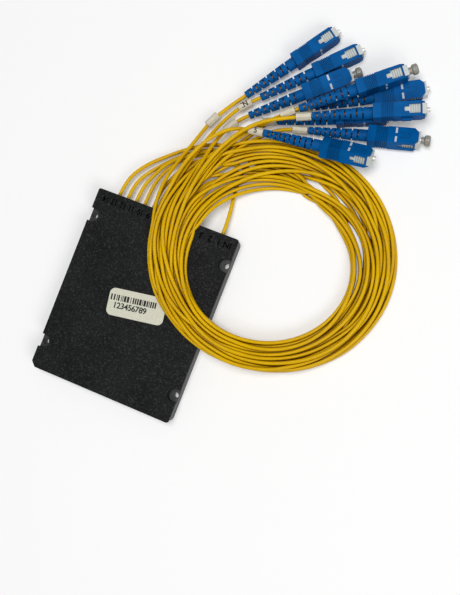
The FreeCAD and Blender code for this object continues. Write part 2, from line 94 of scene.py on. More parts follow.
class Finish:
    """A material's node tree, with its Principled shader."""

    def __init__(self, name, **settings):
        self.material = bpy.data.materials.new(name)
        self.material.use_nodes = True
        self.tree = self.material.node_tree
        self.shader = self.tree.nodes["Principled BSDF"]
        for socket, value in settings.items():
            self.shader.inputs[socket.replace("_", " ")].default_value = value

    def add(self, kind, inputs=(), **settings):
        return add_node(self.tree, kind, inputs, **settings)

    def link(self, output, socket):
        self.tree.links.new(output, self.shader.inputs[socket])

    def place(self):
        """The piece's own coordinates, in metres."""
        return self.add("ShaderNodeTexCoord").outputs["Object"]

    def crease(self, colour, reach_mm, shade, open_from=0.25, open_to=0.75):
        """Painted shade: colour going over to shade in grooves and between pieces that lie close.
        """
        near = self.add("ShaderNodeAmbientOcclusion", {"Distance": reach_mm * MM}, samples=8)
        level = self.add("ShaderNodeMapRange", {"Value": near.outputs["AO"], 1: open_from,
                                                2: open_to})
        mix = self.add("ShaderNodeMix", {0: level.outputs[0], 6: srgb(shade), 7: colour},
                       data_type="RGBA")
        return mix.outputs[2]

    def ramp(self, factor, stops):
        """Colour ramp through (position, hex) stops."""
        node = self.add("ShaderNodeValToRGB", {"Fac": factor})
        elements = node.color_ramp.elements
        while len(elements) < len(stops):
            elements.new(0.5)
        for element, (position, colour) in zip(elements, stops):
            element.position = position
            element.color = srgb(colour)
        return node.outputs["Color"]


def grain(size_mm):
    """Noise scale whose features are about size_mm across, on coordinates in metres."""
    return 1 / MM / size_mm


def abs_spark_texture():
    """Black ABS moulded in a spark-eroded tool: a coarse matt grain that glitters grey. The
    grain is drawn at 0.8 mm, about twice its real size, to show at all."""
    f = Finish("abs_spark_texture", Roughness=0.55, IOR=1.52, Specular_IOR_Level=0.06)
    place = f.place()
    fine = f.add("ShaderNodeTexNoise", {"Vector": place, "Scale": grain(0.8), "Detail": 3.0})
    broad = f.add("ShaderNodeTexNoise", {"Vector": place, "Scale": grain(14), "Detail": 2.0})
    speck = f.ramp(fine.outputs["Fac"], [(0.36, "#060606"), (0.55, "#161717"), (0.72, "#3f4040")])
    wear = f.ramp(broad.outputs["Fac"], [(0.35, "#121313"), (0.7, "#272828")])
    mix = f.add("ShaderNodeMix", {0: 0.35, 6: speck, 7: wear}, data_type="RGBA")
    f.link(mix.outputs[2], "Base Color")
    rough = f.add("ShaderNodeMapRange", {"Value": fine.outputs["Fac"], 3: 0.68, 4: 0.42})
    f.link(rough.outputs[0], "Roughness")
    bump = f.add("ShaderNodeBump", {"Height": fine.outputs["Fac"], "Strength": 0.55,
                                    "Distance": 0.25 * MM})
    f.link(bump.outputs[0], "Normal")
    return f.material


def abs_side_wall():
    """The tray's smoother mould face: the same black ABS, with a faint sheen. Its grey is
    painted lighter than the cover's, as painted light on the lit side faces.
    """
    f = Finish("abs_side_wall", Roughness=0.42, IOR=1.52, Specular_IOR_Level=0.2)
    fine = f.add("ShaderNodeTexNoise", {"Vector": f.place(), "Scale": grain(0.9), "Detail": 2.0})
    # painted light: a lighter grey than the cover's, for the side faces that the lamps light
    skin = f.ramp(fine.outputs["Fac"], [(0.35, "#2a2b2c"), (0.7, "#3c3d3e")])
    # painted shade: darker in the tray's recesses, such as the floor of each notch
    f.link(f.crease(skin, 4.0, "#060606", 0.35, 0.9), "Base Color")
    bump = f.add("ShaderNodeBump", {"Height": fine.outputs["Fac"], "Strength": 0.25,
                                    "Distance": 0.15 * MM})
    f.link(bump.outputs[0], "Normal")
    return f.material


def pvc_cord_jacket():
    """Yellow PVC jacket, extruded: an even satin skin with slow changes of shade along the
    cord, painted shade between the cords, and a slight waviness from the strands beneath."""
    f = Finish("pvc_cord_jacket", Roughness=0.3, IOR=1.53, Specular_IOR_Level=0.09)
    place = f.place()
    slow = f.add("ShaderNodeTexNoise", {"Vector": place, "Scale": grain(18), "Detail": 2.0})
    skin = f.ramp(slow.outputs["Fac"], [(0.3, "#d9aa00"), (0.7, "#e9bb00")])
    # painted shade: dark brown between the cords and down each cord's sides
    f.link(f.crease(skin, 2.8, "#5a1500", 0.12, 0.86), "Base Color")
    wavy = f.add("ShaderNodeTexNoise", {"Vector": place, "Scale": grain(5), "Detail": 1.0})
    bump = f.add("ShaderNodeBump", {"Height": wavy.outputs["Fac"], "Strength": 0.08,
                                    "Distance": 0.2 * MM})
    f.link(bump.outputs[0], "Normal")
    return f.material


def pbt_connector_blue():
    """Blue PBT, injection-moulded in a finely eroded tool: satin, with a soft wide gloss."""
    f = Finish("pbt_connector_blue", Roughness=0.45, IOR=1.56, Specular_IOR_Level=0.035)
    place = f.place()
    slow = f.add("ShaderNodeTexNoise", {"Vector": place, "Scale": grain(9), "Detail": 2.0})
    fine = f.add("ShaderNodeTexNoise", {"Vector": place, "Scale": grain(0.5), "Detail": 2.0})
    skin = f.ramp(slow.outputs["Fac"], [(0.3, "#005292"), (0.7, "#025fa5")])
    # painted shade: darker blue in the grip's grooves, ribs and slots
    f.link(f.crease(skin, 0.9, "#01233f", 0.3, 0.8), "Base Color")
    bump = f.add("ShaderNodeBump", {"Height": fine.outputs["Fac"], "Strength": 0.12,
                                    "Distance": 0.06 * MM})
    f.link(bump.outputs[0], "Normal")
    return f.material


def tpe_boot_blue():
    """Soft blue thermoplastic rubber of the boots: duller than the grip's plastic."""
    f = Finish("tpe_boot_blue", Roughness=0.55, IOR=1.5, Specular_IOR_Level=0.08)
    place = f.place()
    slow = f.add("ShaderNodeTexNoise", {"Vector": place, "Scale": grain(6), "Detail": 2.0})
    skin = f.ramp(slow.outputs["Fac"], [(0.3, "#005190"), (0.7, "#025ea3")])
    # painted shade: darker blue in the boot's slots and where the cord lies close
    f.link(f.crease(skin, 1.2, "#01182c", 0.3, 0.8), "Base Color")
    bump = f.add("ShaderNodeBump", {"Height": slow.outputs["Fac"], "Strength": 0.1,
                                    "Distance": 0.2 * MM})
    f.link(bump.outputs[0], "Normal")
    return f.material


def pbt_frame_white():
    """White-grey PBT of the inner frame, moulded: matt, a little translucent."""
    f = Finish("pbt_frame_white", Roughness=0.5, IOR=1.56, Subsurface_Weight=0.15,
               Subsurface_Scale=0.6 * MM)
    fine = f.add("ShaderNodeTexNoise", {"Vector": f.place(), "Scale": grain(0.9), "Detail": 2.0})
    skin = f.ramp(fine.outputs["Fac"], [(0.3, "#c5cac7"), (0.7, "#d2d7d4")])
    # painted shade: grey in the frame's ridges and corners
    f.link(f.crease(skin, 1.0, "#a0a7a6", 0.3, 0.8), "Base Color")
    return f.material


def zirconia_ground():
    """Zirconia ceramic, centreless-ground: milky white and glossy."""
    f = Finish("zirconia_ground", Roughness=0.16, IOR=2.1)
    fine = f.add("ShaderNodeTexNoise", {"Vector": f.place(), "Scale": grain(1.5), "Detail": 2.0})
    f.link(f.ramp(fine.outputs["Fac"], [(0.3, "#d2d0c7"), (0.7, "#dad8cf")]), "Base Color")
    return f.material


def pe_cap_grey():
    """Natural polyethylene of the dust caps: waxy grey, and light passes a little way in."""
    f = Finish("pe_cap_grey", Roughness=0.34, IOR=1.5, Subsurface_Weight=0.3,
               Subsurface_Scale=1.0 * MM)
    fine = f.add("ShaderNodeTexNoise", {"Vector": f.place(), "Scale": grain(1.4), "Detail": 3.0})
    f.link(f.ramp(fine.outputs["Fac"], [(0.3, "#85857c"), (0.7, "#95948b")]), "Base Color")
    return f.material


def label_paper():
    """Coated paper sticker: warm white, matt, faintly fibrous."""
    f = Finish("label_paper", Roughness=0.62, IOR=1.5)
    fine = f.add("ShaderNodeTexNoise", {"Vector": f.place(), "Scale": grain(1.0), "Detail": 4.0})
    f.link(f.ramp(fine.outputs["Fac"], [(0.3, "#cfceba"), (0.7, "#deddcb")]), "Base Color")
    return f.material


def sleeve_wrap():
    """Cream polyolefin sleeve, slid over the cord: satin and slightly soiled."""
    f = Finish("sleeve_wrap", Roughness=0.45, IOR=1.5)
    fine = f.add("ShaderNodeTexNoise", {"Vector": f.place(), "Scale": grain(2.5), "Detail": 3.0})
    f.link(f.ramp(fine.outputs["Fac"], [(0.3, "#cbc3ac"), (0.7, "#d9d2bd")]), "Base Color")
    return f.material


def printed(name, dark, light, gloss=0.1):
    """A thin film of ink, thermal or pad print, or a small smooth mark of a mould, coloured
    darker as painted shade; uneven at a quarter of a millimetre."""
    f = Finish(name, Roughness=0.5, IOR=1.5, Specular_IOR_Level=gloss)
    fine = f.add("ShaderNodeTexNoise", {"Vector": f.place(), "Scale": grain(0.25), "Detail": 2.0})
    f.link(f.ramp(fine.outputs["Fac"], [(0.3, dark), (0.7, light)]), "Base Color")
    return f.material


def drawn_stainless_tube():
    """Stainless tube round the splitter chip, drawn: fine streaks along it."""
    f = Finish("drawn_stainless_tube", Metallic=1.0, Roughness=0.32)
    streak = f.add("ShaderNodeMapping", {"Vector": f.place(), "Scale": (0.05, 1, 1)})
    fine = f.add("ShaderNodeTexNoise", {"Vector": streak.outputs[0], "Scale": grain(0.4)})
    f.link(f.ramp(fine.outputs["Fac"], [(0.3, "#a8a8a6"), (0.7, "#c4c4c2")]), "Base Color")
    return f.material


def cast_epoxy():
    """Amber epoxy cast round the cord ends, and the coated fibre beside it."""
    f = Finish("cast_epoxy", Roughness=0.25, IOR=1.55)
    fine = f.add("ShaderNodeTexNoise", {"Vector": f.place(), "Scale": grain(3), "Detail": 3.0})
    f.link(f.ramp(fine.outputs["Fac"], [(0.3, "#a98f5c"), (0.7, "#c7b080")]), "Base Color")
    return f.material


COVER_GRAIN = abs_spark_texture()
SIDE_WALL = abs_side_wall()
JACKET = pvc_cord_jacket()
GRIP_BLUE = pbt_connector_blue()
BOOT_BLUE = tpe_boot_blue()
FRAME_WHITE = pbt_frame_white()
ZIRCONIA = zirconia_ground()
CAP_GREY = pe_cap_grey()
LABEL = label_paper()
SLEEVE = sleeve_wrap()
INK = printed("thermal_print_black", "#141414", "#2e2c2a")
TICK_WHITE = printed("pad_print_white", "#b9c6d2", "#d6dfe6")
# painted shade: the moulded port numbers, near-black and without gloss, read dark on the cover
LEGEND = printed("mould_letters_painted_shade", "#030303", "#090909", 0.0)
# painted shade: the moulded loop on each grip, drawn as a darker blue line
PAINTED_LOOP_SHADE = printed("grip_loop_painted_shade", "#034478", "#044c86")
STEEL = drawn_stainless_tube()
EPOXY = cast_epoxy()


def coat(mesh, material):
    """Gives a mesh or curve this one material."""
    mesh.materials.clear()
    mesh.materials.append(material)


def dress(node, material):
    coat(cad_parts[node].data, material)


def new_piece(name, mesh, material, body):
    """A visible piece that goes with a body."""
    piece = put(name, mesh)
    coat(mesh, material)
    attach(piece, body)
    return piece


# ---------------------------------------------------------------- cords
CORD_R = 1.0
# Each pigtail's points outside the coil: from the resin in the box to the coil, and from
# the coil to its boot.
ROUTES = {
    "in": ([(30, 43, 5), (30, 58, 5), (28, 69, 3.5), (26.4, 80, 1.6), (27.8, 89.5, 1.1),
            (32.5, 96.5, 1.1)],
           [(0.8, 42.5, 14.5), (-1.4, 53, 13.5), (-1.4, 65.2, 12), (0.4, 78.3, 9.5),
            (3.7, 90.2, 8.6), (7.7, 103.2, 6.4), (13.6, 115, 4.6), (25.9, 126.8, 4.6),
            (51, 151.1, 4.6)]),
    "1": ([(5, 43, 5), (5, 57, 5), (10.3, 64.8, 9), (15.3, 72.7, 8)],
          [(-3.9, 40.9, 14), (-7.2, 51.7, 13), (-8.2, 64.4, 11), (-5.3, 78.1, 8.6),
           (-1.9, 89.6, 6.3), (2.7, 105.7, 4.6), (17.4, 125.9, 4.6), (38, 154.2, 4.6)]),
    "2": ([(0, 43, 5), (0, 57, 5), (4.6, 65.1, 8), (9, 74.4, 7)],
          [(4.8, 52, 15), (5.6, 64.3, 14), (7.1, 76.4, 12), (8.1, 89.3, 9), (10.6, 100.1, 5.8),
           (16.3, 109.2, 4.9), (23.9, 115.7, 4.9), (50.5, 138.4, 4.9)]),
    "3": ([(-5, 43, 5), (-5, 57, 5), (-1.9, 65.3, 7), (2.4, 73.6, 7), (9.1, 81.4, 6)],
          [(8.3, 69, 13.6), (11.2, 79.8, 12.7), (15.7, 92.2, 10.9), (25.1, 105.6, 8.3),
           (38.7, 117.3, 13.45), (49, 125.4, 13.45), (76.6, 146.9, 13.45)]),
    "4": ([(-10, 43, 5), (-10, 57, 5), (-7.5, 65, 6), (-3.6, 73, 6.5), (2.8, 81.5, 5.8),
           (14.5, 85.5, 5)],
          [(11.1, 77.7, 8.3), (16.3, 88.9, 7.2), (22.8, 100, 5.1), (29.1, 112.9, 0.1),
           (45.4, 124.8, 4.9), (55.1, 129.9, 4.9), (86, 146.4, 4.9)]),
    "5": ([(-15, 43, 5), (-15, 57, 5), (-13, 66.3, 5), (-9.2, 74.3, 4.4), (-2.8, 81.3, 3.9),
           (6.5, 86.8, 3.4), (23.4, 92.4, 4)],
          [(-3, 59.6, 14.5), (-1.6, 72.8, 14), (2.6, 86.4, 13), (9.5, 97.1, 12.4),
           (18.6, 103.6, 12.4), (37.5, 105.6, 12.4), (72.3, 109.2, 12.4)]),
    "6": ([(-20, 43, 5), (-20, 57, 5), (-16.4, 65.8, 5), (-12.2, 73.8, 5.6), (-4.6, 80.8, 6),
           (5.6, 87.6, 5.5), (21.7, 95, 3.9)],
          [(7.8, 60.3, 16.2), (9, 73.4, 15.4), (12.9, 87.5, 14.1), (20, 100.1, 14.9),
           (30.3, 110, 16.4), (45.3, 117.7, 13.95), (57.3, 122.6, 13.95), (89.8, 135.7, 13.95)]),
    "7": ([(-25, 43, 5), (-25, 57.5, 5), (-19.7, 66.7, 4.5), (-13.3, 74, 3.8), (-5.5, 81.7, 3.9),
           (4.6, 89.1, 2.9), (22.5, 93.4, 1.9)],
          [(10, 67.7, 12.4), (12.3, 81, 10.5), (17.2, 95.1, 7.8), (23, 109.7, 4.6),
           (39.7, 116.3, 4.6), (72.3, 129.1, 4.6)]),
    "8": ([(-30, 43, 5), (-30, 58, 5), (-22.9, 69.7, 4.5), (-13.4, 78.6, 3.5), (-4.3, 86.1, 3),
           (6.2, 92.5, 2.5), (21.2, 95.8, 2)],
          [(14.6, 81.5, 9.2), (20.3, 92.4, 7.8), (29, 103.5, 5), (38.5, 111.7, 5.1),
           (56.9, 116.3, 5.1), (90.9, 124.8, 5.1)]),
}
COIL_MIDDLE = Vector((57.4, 49.5, 0))
HOLE_R = 38.2                # of the coil's hole
HOLE_MIDDLE = Vector((2.0, -9.4))    # from the coil's own middle
HOLE_OVAL = 2.8              # longer than round by this much at each end, along HOLE_TURN
HOLE_TURN = 20.0             # degrees
COIL_R_OUT = 61.2            # of the coil's rim
COIL_OVAL = 2.0              # the same as HOLE_OVAL for the rim, along X
PILE_H = 8.6                 # the most that one cord's middle lies above the lowest one's
BOX_TOP = 10.2               # height of the coil's underside where it lies on the cover
ON_BOX = (172.0, 258.0)      # the arc, in degrees, over which it lies there
SAG_SPAN = 42.0              # the arc over which it comes down to the ground at each side
TURNS = 3                    # of each cord
SWAYS = [(0.13, 1), (0.12, 2), (0.04, 3)]    # spread of the turns' wandering, as a share of
                                             # the width, and how often in a turn
EVEN = 1.25                  # draws the outermost turns in to the coil's edges
SEED = 17                    # of the turns' places and wandering
STATIONS = 48                # places round the coil where the turns are set apart
STEP = 360 / STATIONS
JOIN = 8                     # stations over which a turn's end goes over to its route
REACH = 0.9                  # the least from a route's end to its turns, in stations
SAMPLES = 24                 # of a route between two of its points
CLEAR = 4                    # how far outside its rim a route still crosses the coil
GAP = 2 * CORD_R + 0.06      # from one cord's middle to the next
ROUNDS = 300                 # in which the turns are pushed apart
FREE_ROUNDS = 60             # the last of them, in which nothing draws the turns anywhere
RAW_ROUNDS = 6               # the very last, in which they aren't smoothed either
# What a point of a turn does in a round.
WISH_PULL = 0.04             # share of the way it goes to its wished radius
HOLD_PULL = 0.15             # share of the way it goes to the height it is held at
WEIGHT = 0.08                # how far it sinks
SMOOTH = 0.15                # share of the way it goes to the mean of its neighbours
SMOOTH_MORE = 0.3            # what is added to that at first, and then less and less
PUSH = 0.8                   # share of an overlap that it is pushed
DRAPE_ROUNDS = 6             # of smoothing a turn that is laid over others


def ease(t):
    """0 to 1 as t goes from 0 to 1, with a soft start and end."""
    return t * t * (3 - 2 * t)


def length_mm(points):
    """Length of the straight lines between these points."""
    return sum(math.dist(a, b) for a, b in zip(points, points[1:]))


def coil_base_z(turn):
    """Height of the coil's underside at an angle of turn degrees round its middle."""
    turn %= 360
    past = max(ON_BOX[0] - turn, turn - ON_BOX[1], 0)
    return BOX_TOP * (1 - ease(min(past / SAG_SPAN, 1)))


def polar(point):
    """Radius and angle in degrees, round the coil's middle, of a point in the routes."""
    x, y = point[0] - COIL_MIDDLE.x, point[1] - COIL_MIDDLE.y
    return math.hypot(x, y), math.degrees(math.atan2(y, x)) % 360


def crossings(points):
    """Where the smooth line through a route passes the coil's stations: station number,
    radius and height. The turns are kept clear of these."""
    found = []
    last = None
    for a, b, c in zip(points, points[1:], points[2:]):
        for i in range(SAMPLES):
            t = i / SAMPLES
            here = (Vector(a) * (1 - t) ** 2 / 2 + Vector(b) * (0.5 + t - t * t)
                    + Vector(c) * t * t / 2)
            r, turn = polar(here)
            at = turn / STEP
            passed = last is not None and int(at) != int(last) and abs(at - last) < 1
            if passed and r < outer_edge(turn) + CLEAR:
                found.append((max(int(at), int(last)) % STATIONS, r, here.z))
            last = at
    return found


def inner_edge(turn):
    """Radius of the coil's hole at an angle, round the coil's middle."""
    a = math.radians(turn)
    return (HOLE_R + HOLE_MIDDLE.x * math.cos(a) + HOLE_MIDDLE.y * math.sin(a)
            + HOLE_OVAL * math.cos(math.radians(2 * (turn - HOLE_TURN))))


def outer_edge(turn):
    """Radius of its rim."""
    return COIL_R_OUT + COIL_OVAL * math.cos(math.radians(2 * turn))


# Places where the loose turns part and the ground shows: angle, share of the width from
# the inside, how far each side draws back, and over what angle.
PARTINGS = [(76, 0.42, 2.2, 30), (31, 0.24, 1.4, 24), (8, 0.09, 1.3, 26)]


def swayed(share, sway, turn):
    """Share of the coil's width, from the inside, at which a turn lies at an angle."""
    for reach, furthest, times in sway:
        share += reach * math.cos(math.radians(times * turn - furthest))
    return 0.5 + 0.5 * math.tanh(EVEN * (2 * share - 1)) / math.tanh(EVEN)


def lie(share, sway, turn):
    """Radius at which a turn wants to lie, at an angle of turn degrees round the coil, and
    the least and most that it may have beside a parting."""
    inner, outer = inner_edge(turn) + CORD_R, outer_edge(turn) - CORD_R
    r = inner + (outer - inner) * swayed(share, sway, turn)
    least, most = inner, outer
    for angle, split, opening, span in PARTINGS:
        away = ((turn - angle + 180) % 360 - 180) / span
        bank = (opening + CORD_R) * (1 - away ** 2)
        middle = inner + (outer - inner) * split
        if swayed(share, sway, angle) > split:
            least = min(max(least, middle + bank), outer)
        else:
            most = max(min(most, middle - bank), inner)
    return np.array((min(max(r, least), most), least, most))


def wind_coil():
    """Points of every cord's turns. Each turn is laid loosely over those that already lie
    there, and then all are pushed apart. A cord with a long way outside lies further in."""
    dice = random.Random(SEED)
    longest_first = sorted(NAMES, key=lambda name: -sum(map(length_mm, ROUTES[name])))
    station, wish, bounds, hold, first = [], [], [], [], {}
    for name in NAMES:
        lead, tail = ROUTES[name]
        r_in, at_in = polar(lead[-1])
        r_out, at_out = polar(tail[0])
        start = math.floor(at_in / STEP - REACH)
        stop = math.ceil(at_out / STEP + REACH) - STATIONS * TURNS
        count = start - stop + 1
        rings = []
        for ring in range(TURNS):
            rank = ring * len(NAMES) + longest_first.index(name) + dice.uniform(0, 1)
            sway = [(dice.gauss(0, reach), dice.uniform(0, 360), times)
                    for reach, times in SWAYS]
            rings.append((rank / (len(NAMES) * TURNS), sway))
        first[name] = (len(station), count)
        for i in range(count):
            turn = (start - i) * STEP % 360
            done = i / (count - 1) * TURNS
            ring = min(int(done), TURNS - 1)
            after = rings[min(ring + 1, TURNS - 1)]
            t = ease(min(max((done - ring - 0.5) / 0.5, 0), 1))    # over the turn's second half
            r, least, most = lie(*rings[ring], turn) * (1 - t) + lie(*after, turn) * t
            near_in, near_out = max(1 - i / JOIN, 0), max(1 - (count - 1 - i) / JOIN, 0)
            r += (r_in - r) * ease(near_in)
            r += (r_out - r) * ease(near_out)
            station.append((start - i) % STATIONS)
            wish.append(r)
            near_end = near_in or near_out
            bounds.append((min(least, r), max(most, r)) if near_end else (least, most))
            height = lead[-1][2] if near_in else tail[0][2]
            hold.append((max(near_in, near_out), height))
    return settle(np.array(station), np.array(wish), np.array(bounds), np.array(hold), first)


def all_crossings(part):
    """Radius and height of every route's crossings, by station: part 0 is the way to the
    coil, part 1 the way from it."""
    found = {s: [] for s in range(STATIONS)}
    for name in NAMES:
        for s, r, z in crossings(ROUTES[name][part]):
            found[s].append((r, z))
    return found


def pile_up(station, wish, base, leads, first):
    """Heights of the turns when they are laid one after another, each piece of a turn on top
    of what lies there."""
    laid = [list(leads[s]) for s in range(STATIONS)]
    height = base.copy()
    for begin, count in first.values():
        for at in range(begin, begin + count, STATIONS):
            piece = range(at, min(at + STATIONS, begin + count))
            rise = []
            for i in piece:
                here = base[i]
                for r, z in laid[station[i]]:
                    off = abs(r - wish[i])
                    if off < GAP:
                        here = max(here, z + math.sqrt(GAP * GAP - off * off))
                rise.append(here)
            rise = np.array(rise)
            smooth = rise.copy()
            for _ in range(DRAPE_ROUNDS):
                mean = smooth.copy()
                mean[1:-1] = (smooth[:-2] + smooth[2:]) / 2
                smooth = np.maximum(rise, mean)
            for i, z in zip(piece, smooth):
                height[i] = z
                laid[station[i]].append((wish[i], z))
    return height


def settle(station, wish, bounds, hold, first):
    """Piles up the turns and pushes them apart. Each point of a turn has its station, the
    radius it wishes for, the least and most it may have, and how strongly it is held at what
    height; first tells where each cord's points begin and how many they are."""
    base = np.array([coil_base_z(s * STEP) for s in station]) + CORD_R
    leads, tails = all_crossings(0), all_crossings(1)
    place = np.column_stack([wish, pile_up(station, wish, base, leads, first)])
    groups = [np.where(station == s)[0] for s in range(STATIONS)]
    before = np.arange(len(place)) - 1
    after = np.arange(len(place)) + 1
    for begin, count in first.values():
        before[begin] = begin
        after[begin + count - 1] = begin + count - 1
    for n in range(ROUNDS):
        left = 1 - n / ROUNDS
        if n < ROUNDS - FREE_ROUNDS:
            place[:, 0] += (wish - place[:, 0]) * WISH_PULL * left
            place[:, 1] += (hold[:, 1] - place[:, 1]) * HOLD_PULL * hold[:, 0] * left
            place[:, 1] -= WEIGHT
        if n < ROUNDS - RAW_ROUNDS:
            smooth = (place[before] + place[after]) / 2 - place
            place += smooth * (SMOOTH_MORE * left + SMOOTH)
        for s, members in enumerate(groups):
            spots = place[members]
            fixed = np.array(leads[s] + tails[s]).reshape(-1, 2)
            everyone = np.vstack([spots, fixed])
            apart = spots[:, None, :] - everyone[None, :, :]
            far = np.hypot(apart[..., 0], apart[..., 1])
            far[np.arange(len(members)), np.arange(len(members))] = np.inf
            short = np.clip(GAP - far, 0, None)
            share = np.where(np.arange(len(everyone)) < len(members), 0.5, 1.0)
            push = apart / np.maximum(far, 1e-3)[..., None] * (short * share)[..., None]
            place[members] += push.sum(axis=1) * PUSH
        place[:, 0] = np.clip(place[:, 0], bounds[:, 0] - CORD_R / 2, bounds[:, 1] + CORD_R / 2)
        place[:, 1] = np.clip(place[:, 1], base, base + PILE_H)
    turns = {}
    for name, (begin, count) in first.items():
        turns[name] = []
        for i in range(begin, begin + count):
            angle = math.radians(station[i] * STEP)
            turns[name].append((COIL_MIDDLE.x + place[i, 0] * math.cos(angle),
                                COIL_MIDDLE.y + place[i, 0] * math.sin(angle), place[i, 1]))
    return turns


def lay_cord(name, points):
    """A round cord along these points, in mm."""
    curve = bpy.data.curves.new(f"cord_{name}", "CURVE")
    curve.dimensions = "3D"
    curve.bevel_depth = CORD_R * MM
    curve.bevel_resolution = 3
    curve.resolution_u = 4
    curve.use_fill_caps = True
    spline = curve.splines.new("NURBS")
    spline.points.add(len(points) - 1)
    for control, (x, y, z) in zip(spline.points, points):
        control.co = (x * MM, y * MM, z * MM, 1)
    spline.order_u = 3
    spline.use_endpoint_u = True
    spline.use_smooth = True
    return new_piece(f"cord_{name}", curve, JACKET, "splitter")


coil_turns = wind_coil()
for name in NAMES:
    lead, tail = ROUTES[name]
    cord = lay_cord(name, lead + coil_turns[name] + tail)
    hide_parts(f"pigtail_{name}", "pigtail_coil")


# ---------------------------------------------------------------- CAD nodes
EDGE_R = 0.22
WELD = 0.002
SHARP = 35                   # degrees


def soften(node):
    """Rounds the sharp edges of a moulding a little, as its mould does."""
    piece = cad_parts[node]
    weld = piece.modifiers.new("weld", "WELD")
    weld.merge_threshold = WELD * MM
    bevel = piece.modifiers.new("edges", "BEVEL")
    bevel.width = EDGE_R * MM
    bevel.segments = 2
    bevel.limit_method = "ANGLE"
    bevel.angle_limit = math.radians(SHARP)
    bevel.use_clamp_overlap = True


dress("cover", COVER_GRAIN)
dress("base_tray", SIDE_WALL)
dress("cable_anchor", EPOXY)
dress("fibre_ring", EPOXY)
dress("chip_module", STEEL)
dress("barcode_label", LABEL)
dress("number_sleeves", SLEEVE)
for name in NAMES:
    dress(f"grip_{name}", GRIP_BLUE)
    soften(f"grip_{name}")
    dress(f"boot_{name}", BOOT_BLUE)
    dress(f"plug_frame_{name}", FRAME_WHITE)
    dress(f"ferrule_{name}", ZIRCONIA)
    if f"dust_cap_{name}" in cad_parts:
        dress(f"dust_cap_{name}", CAP_GREY)


# ---------------------------------------------------------------- marks
TEXT_LIFT = 0.03             # thickness of print
LETTER_DEPTH = 0.012         # of flat letters, to each side
CAPITAL = 0.70               # height of a capital, as a share of the font's size


def finish_mesh(name, form):
    """The mesh of a bmesh in millimetres, which is freed."""
    form.transform(Matrix.Scale(MM, 4))
    mesh = bpy.data.meshes.new(name)
    form.to_mesh(mesh)
    form.free()
    return mesh


def lettering(name, words, material, body, bolder=0.0):
    """Flat letters as one mesh. Each word comes with its height and the placement of its
    middle, in mm. A 6 is a 9 turned round, because its own outline breaks when made bolder."""
    form = bmesh.new()
    for text, height, matrix in words:
        curve = bpy.data.curves.new("words", "FONT")
        curve.body = text.replace("6", "9")
        curve.align_x = "CENTER"
        curve.align_y = "CENTER"
        curve.size = height / CAPITAL
        curve.extrude = LETTER_DEPTH
        curve.offset = bolder
        holder = put("words", curve)
        mesh = bpy.data.meshes.new_from_object(
            holder.evaluated_get(bpy.context.evaluated_depsgraph_get()))
        corners = [Vector(corner) for corner in holder.bound_box]
        mesh.transform(Matrix.Translation((corners[0] + corners[6]) / -2))
        if text == "6":
            mesh.transform(Matrix.Rotation(math.pi, 4, "Z"))
        mesh.transform(matrix)
        form.from_mesh(mesh)
        bpy.data.objects.remove(holder)
        bpy.data.meshes.remove(mesh)
        bpy.data.curves.remove(curve)
    return new_piece(name, finish_mesh(name, form), material, body)


def film(form, x0, x1, y0, y1, z, thick, matrix):
    """A thin printed rectangle, added to a bmesh."""
    made = bmesh.ops.create_cube(form, size=1)["verts"]
    bmesh.ops.scale(form, vec=(x1 - x0, y1 - y0, thick), verts=made)
    bmesh.ops.translate(form, vec=((x0 + x1) / 2, (y0 + y1) / 2, z), verts=made)
    bmesh.ops.transform(form, matrix=matrix, verts=made)


# The label's frame: its middle on the paper's face, turned with the label.
LABEL_FACE = (Matrix.Translation((2.4, -0.7, 10.12))
              @ Matrix.Rotation(math.radians(9), 4, "Z"))
BAR_LEFT, BAR_RIGHT = -14.5, 11.2
BAR_BOTTOM, BAR_TOP = 0.85, 3.95
BAR_UNIT = 0.4
BAR_SEED = 5
DIGIT_X, DIGIT_Y = -11.4, -1.55    # middle of the first digit
DIGIT_STEP = 2.03
DIGIT_H = 3.0


def print_label():
    """Generic bars and plain digits."""
    dice = random.Random(BAR_SEED)
    form = bmesh.new()
    x = BAR_LEFT
    while x < BAR_RIGHT - 2 * BAR_UNIT:
        wide = BAR_UNIT * dice.choice((1, 2, 2, 3))
        film(form, x, x + wide, BAR_BOTTOM, BAR_TOP, TEXT_LIFT / 2, TEXT_LIFT, LABEL_FACE)
        x += wide + BAR_UNIT * dice.choice((1, 1, 2))
    new_piece("label_bars", finish_mesh("label_bars", form), INK, "splitter")
    words = []
    for n, digit in enumerate("123456789"):
        at = Matrix.Translation((DIGIT_X + DIGIT_STEP * n, DIGIT_Y, TEXT_LIFT))
        words.append((digit, DIGIT_H, LABEL_FACE @ at))
    lettering("label_digits", words, INK, "splitter", bolder=0.1)


LEGEND_Y = 45.3
LEGEND_Z = 10.02
LEGEND_H = 3.1
LEGEND_IN_X = 35.3
LEGEND_0_X = 35.6            # where a port 0 would be
LEGEND_STEP = 5              # from one port to the next
LEGEND_SQUEEZE = 0.8         # width of two figures, as a share of their own


def mould_legend():
    """Port numbers, raised and smooth, coloured near-black as painted shade; read from the
    side where the cords come out.
    """
    turned = Matrix.Rotation(math.pi, 4, "Z")
    words = [("IN", LEGEND_H, Matrix.Translation((LEGEND_IN_X, LEGEND_Y, LEGEND_Z)) @ turned)]
    for n in range(1, 15):
        at = Matrix.Translation((LEGEND_0_X - LEGEND_STEP * n, LEGEND_Y, LEGEND_Z)) @ turned
        squeeze = Matrix.Diagonal((LEGEND_SQUEEZE if n > 9 else 1, 1, 1, 1))
        words.append((str(n), LEGEND_H, at @ squeeze))
    lettering("port_legend", words, LEGEND, "splitter", bolder=0.08)


